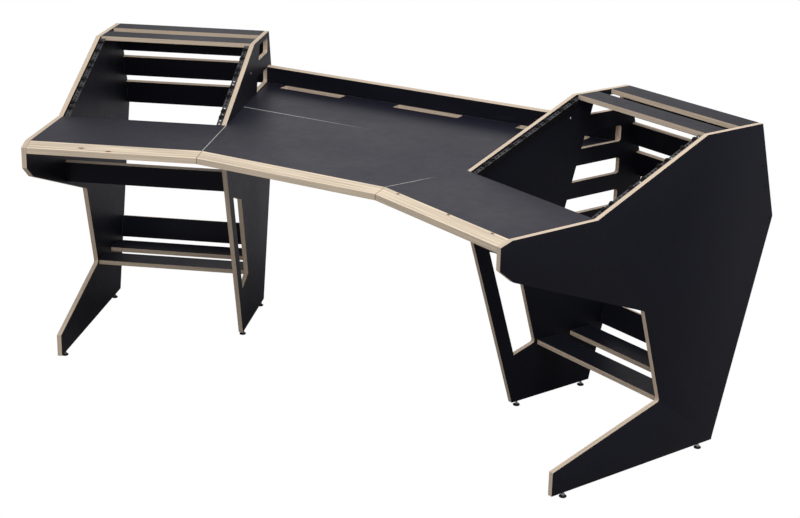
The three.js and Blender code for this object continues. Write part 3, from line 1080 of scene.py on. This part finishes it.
def railMesh(side, place):
    made = bmesh.new()
    length = rackRails["units"] * rackRails["unit"]
    rings = []
    for along in (rackRails["start"], rackRails["start"] + length):
        rings.append([])
        for x, z in railProfile():
            spot = railSpot(side, place, rackRails["back"] + x, along, z - rackRails["recess"])
            rings[-1].append(made.verts.new(spot))
    for i in range(len(rings[0])):
        j = (i + 1) % len(rings[0])
        made.faces.new([rings[0][i], rings[0][j], rings[1][j], rings[1][i]])
    made.faces.new(rings[0])
    made.faces.new(rings[1])
    bmesh.ops.recalc_face_normals(made, faces=made.faces)
    mesh = bpy.data.meshes.new(f"{side}{place}Rail")
    made.to_mesh(mesh)
    made.free()
    return mesh


def railHoles(side, place):
    facing = wingWay(side, 0, -math.sin(rackRise), math.cos(rackRise))
    heading = wingWay(side, 1 if place == "inner" else -1, 0)
    spots = []
    for unit in range(rackRails["units"]):
        for hole in rackRails["holes"]:
            along = rackRails["start"] + unit * rackRails["unit"] + hole
            spot = railSpot(side, place, rackRails["fromPanel"], along, -rackRails["recess"])
            spots.append((spot, facing, heading))
    return spots


def buildDrilled():
    tree, start, ends = geometryGroup("drilled", {
        "Rail": ("INPUT", "Geometry"),
        "Places": ("INPUT", "Object"),
        "Radius": ("INPUT", "Float"),
        "Depth": ("INPUT", "Float"),
        "Sides": ("INPUT", "Int"),
        "Finish": ("INPUT", "Material"),
        "Drilled": ("OUTPUT", "Geometry"),
    })
    places = objectGeometry(tree, start["Places"])
    points = addNode(tree, "GeometryNodeMeshToPoints", {"Mesh": places})
    values = {"Vector": spotValue(tree, "facing")}
    turn = addNode(tree, "FunctionNodeAlignRotationToVector", values, axis="Z")
    values = {"Vertices": start["Sides"], "Radius": start["Radius"], "Depth": start["Depth"]}
    drill = addNode(tree, "GeometryNodeMeshCylinder", values)
    placed = addNode(tree, "GeometryNodeInstanceOnPoints", {
        "Points": points.outputs["Points"],
        "Instance": drill.outputs["Mesh"],
        "Rotation": turn.outputs[0],
    })
    cut = addNode(tree, "GeometryNodeMeshBoolean", operation="DIFFERENCE", solver="EXACT")
    tree.links.new(start["Rail"], cut.inputs["Mesh 1"])
    tree.links.new(placed.outputs["Instances"], cut.inputs["Mesh 2"])
    rail = dressed(tree, cut.outputs["Mesh"], start["Finish"])
    tree.links.new(rail, ends["Drilled"])
    return tree


drilled = buildDrilled()
screwSpots = []
for side, sideName in ((-1, "left"), (1, "right")):
    for place in ("inner", "outer"):
        holes = railHoles(side, place)
        screwSpots += [holes[i] for i in rackRails["screwsAt"]]
        holesName = f"{sideName}{place}Holes"
        places = bpy.data.objects.new(holesName, spotMesh(holesName, holes))
        rail = bpy.data.objects.new(f"{sideName}_rail_{place}_drilled", railMesh(side, place))
        bpy.context.scene.collection.objects.link(rail)
        applyTree(rail, drilled, {
            "Places": places,
            "Radius": rackRails["holeRadius"],
            "Depth": rackRails["drillLength"],
            "Sides": rackRails["holeSides"],
            "Finish": finishes["railSteel"],
        })
        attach(rail, "desk")
        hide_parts(f"{sideName}_rail_{place}")
        print(rail.name + ":", len(rail.data.polygons), "faces")

railScrews = {
    "sunk": 0.0004,
    "washer": 0.0086,
    "washerRise": 0.0030,
    "washerWall": 0.3,  # shares of its rise
    "washerShoulder": 0.5,
    "washerRound": 0.0004,
    "washerLip": 0.0008,
    "head": 0.0056,
    "headRise": 0.0068,
    # in from the head's side, down from its top
    "headRound": ((0.0, 0.0014), (0.0006, 0.0004), (0.0018, 0.0)),
    "socket": 0.0019,
    "socketDepth": 0.0018,
    "socketPoint": 0.0003,
    "sides": 24,
    "seed": 5,
}


def railScrewObject():
    washer, head, socket = railScrews["washer"], railScrews["head"], railScrews["socket"]
    low, high = railScrews["washerRise"], railScrews["headRise"]
    foot = high - railScrews["socketDepth"]
    return headObject("railScrew", [
        (0, -railScrews["sunk"]),
        (washer, -railScrews["sunk"]),
        (washer, low * railScrews["washerWall"]),
        (washer - railScrews["washerRound"], low * railScrews["washerShoulder"]),
        (head + railScrews["washerLip"], low),
        (head, low),
        *((head - inward, high - down) for inward, down in railScrews["headRound"]),
        (socket, high),
        (socket, foot),
        (0, foot - railScrews["socketPoint"]),
    ], railScrews["sides"], finishes["blackScrew"])


placeHeads("rail_screws", railScrewObject(), screwSpots, railScrews["seed"],
           finishes["blackScrew"])

# The bolts that go through the inner panels, and show on both their sides
throughBolts = {
    "radius": 0.0036,
    "rise": 0.0012,
    "wall": 0.5,  # share of the rise
    "crown": 0.8,  # share of the radius
    "places": {-1: (0.6035, 0.8332), 1: (0.6381, 0.8497)},  # back and height, on each side
    "sides": 16,
    "seed": 8,
}


def boltSpots():
    spots = []
    for side in (-1, 1):
        back, height = throughBolts["places"][side]
        for across, way in ((desk["innerInside"], 1), (0.0, -1)):
            spot = wingSpot(side, across, back, height)
            spots.append((spot, wingWay(side, way, 0), Vector((0, 0, 1))))
    return spots


def boltHeadObject():
    radius, rise = throughBolts["radius"], throughBolts["rise"]
    return headObject("boltHead", [
        (0, 0.0),
        (radius, 0.0),
        (radius, rise * throughBolts["wall"]),
        (radius * throughBolts["crown"], rise),
        (0, rise),
    ], throughBolts["sides"], finishes["brightSteel"])


placeHeads("panel_bolts", boltHeadObject(), boltSpots(), throughBolts["seed"],
           finishes["brightSteel"])


# Floor, light and camera
white = rgb(1, 1, 1)
studio = {
    "floorSize": 60.0,
    "skyCamera": 1.0,
    "skyLight": 0.56,
    "skyColour": rgb(1.00, 0.99, 1.04),
    "floorGlow": 0.995,  # share of the floor that stays white where the desk shades it
    "floorColours": (rgb(0.95, 0.95, 0.95), rgb(0.97, 0.97, 0.97)),
    "floorPatch": 1.4,
    "floorBounce": rgb(0.355, 0.345, 0.345),  # what the desk sees of the floor
    "rearBounce": rgb(0.66, 0.66, 0.67),  # the same behind the desk, where the studio is brighter
    "rearFrom": 0.7,
    "rearTo": 2.2,
    "lamps": (
        # name, place, aim, width, height, watts
        ("key", (1.7, -1.5, 4.2), (0.0, 0.0, 0.7), 2.8, 2.2, 105.0),
        ("rear", (-3.4, 6.6, 3.3), (0.2, 0.0, 0.8), 4.0, 1.8, 18.0),
    ),
}


def buildFloor():
    mesh = bpy.data.meshes.new("floor")
    half = studio["floorSize"] / 2
    corners = [(-half, -half, 0), (half, -half, 0), (half, half, 0), (-half, half, 0)]
    mesh.from_pydata(corners, [], [(0, 1, 2, 3)])
    floor = bpy.data.objects.new("floor", mesh)
    bpy.context.scene.collection.objects.link(floor)
    made, tree, shader = newMaterial("studioFloor")
    tree.nodes.remove(shader)
    tone = spread(tree, noise(tree, objectPlace(tree), studio["floorPatch"], 2.0, 0.5), 0.3, 0.7)
    paper = blendColour(tree, tone, *studio["floorColours"])
    lit = addNode(tree, "ShaderNodeBsdfDiffuse", {"Color": paper}).outputs[0]
    glow = addNode(tree, "ShaderNodeEmission", {"Color": white, "Strength": 1.0}).outputs[0]
    values = {0: studio["floorGlow"], 1: lit, 2: glow}
    seen = addNode(tree, "ShaderNodeMixShader", values).outputs[0]
    back = dot(tree, objectPlace(tree), (0, 1, 0))
    rear = spread(tree, back, studio["rearFrom"], studio["rearTo"])
    bounced = blendColour(tree, rear, studio["floorBounce"], studio["rearBounce"])
    bounce = addNode(tree, "ShaderNodeBsdfDiffuse", {"Color": bounced}).outputs[0]
    path = tree.nodes.new("ShaderNodeLightPath")
    values = {0: path.outputs["Is Camera Ray"], 1: bounce, 2: seen}
    whole = addNode(tree, "ShaderNodeMixShader", values).outputs[0]
    tree.links.new(whole, tree.nodes["Material Output"].inputs["Surface"])
    mesh.materials.append(made)


def buildSky():
    world = bpy.data.worlds.new("studio")
    bpy.context.scene.world = world
    world.use_nodes = True
    tree = world.node_tree
    background = tree.nodes["Background"]
    seen = tree.nodes.new("ShaderNodeLightPath").outputs["Is Camera Ray"]
    colour = blendColour(tree, seen, studio["skyColour"], white)
    tree.links.new(colour, background.inputs["Color"])
    strength = blendNumber(tree, seen, studio["skyLight"], studio["skyCamera"])
    tree.links.new(strength, background.inputs["Strength"])


def aim(place, target):
    return (Vector(target) - Vector(place)).to_track_quat("-Z", "Y").to_euler()


def buildLamps():
    for name, place, target, width, height, watts in studio["lamps"]:
        lamp = bpy.data.lights.new(name, "AREA")
        lamp.shape = "RECTANGLE"
        lamp.size = width
        lamp.size_y = height
        lamp.energy = watts
        holder = bpy.data.objects.new(name, lamp)
        holder.location = place
        holder.rotation_euler = aim(place, target)
        holder.visible_camera = False
        bpy.context.scene.collection.objects.link(holder)


def buildCamera():
    yaw, pitch, roll = (math.radians(view[key]) for key in ("yaw", "pitch", "roll"))
    ahead = math.cos(pitch)
    forward = Vector((-math.sin(yaw) * ahead, math.cos(yaw) * ahead, math.sin(pitch)))
    level = Vector((math.cos(yaw), math.sin(yaw), 0))
    upright = level.cross(forward)
    right = level * math.cos(roll) + upright * math.sin(roll)
    up = upright * math.cos(roll) - level * math.sin(roll)
    turned = Matrix((right, up, -forward)).transposed().to_4x4()
    camera = bpy.data.cameras.new("camera")
    camera.lens = view["lens"]
    camera.sensor_width = view["sensor"]
    camera.shift_y = view["shiftUp"]
    camera.clip_start = view["nearest"]
    camera.clip_end = view["farthest"]
    holder = bpy.data.objects.new("camera", camera)
    holder.matrix_world = Matrix.Translation(view["place"]) @ turned
    bpy.context.scene.collection.objects.link(holder)
    bpy.context.scene.camera = holder


buildFloor()
buildSky()
buildLamps()
buildCamera()
bpy.context.scene.view_settings.view_transform = "Standard"
print("studio ready")
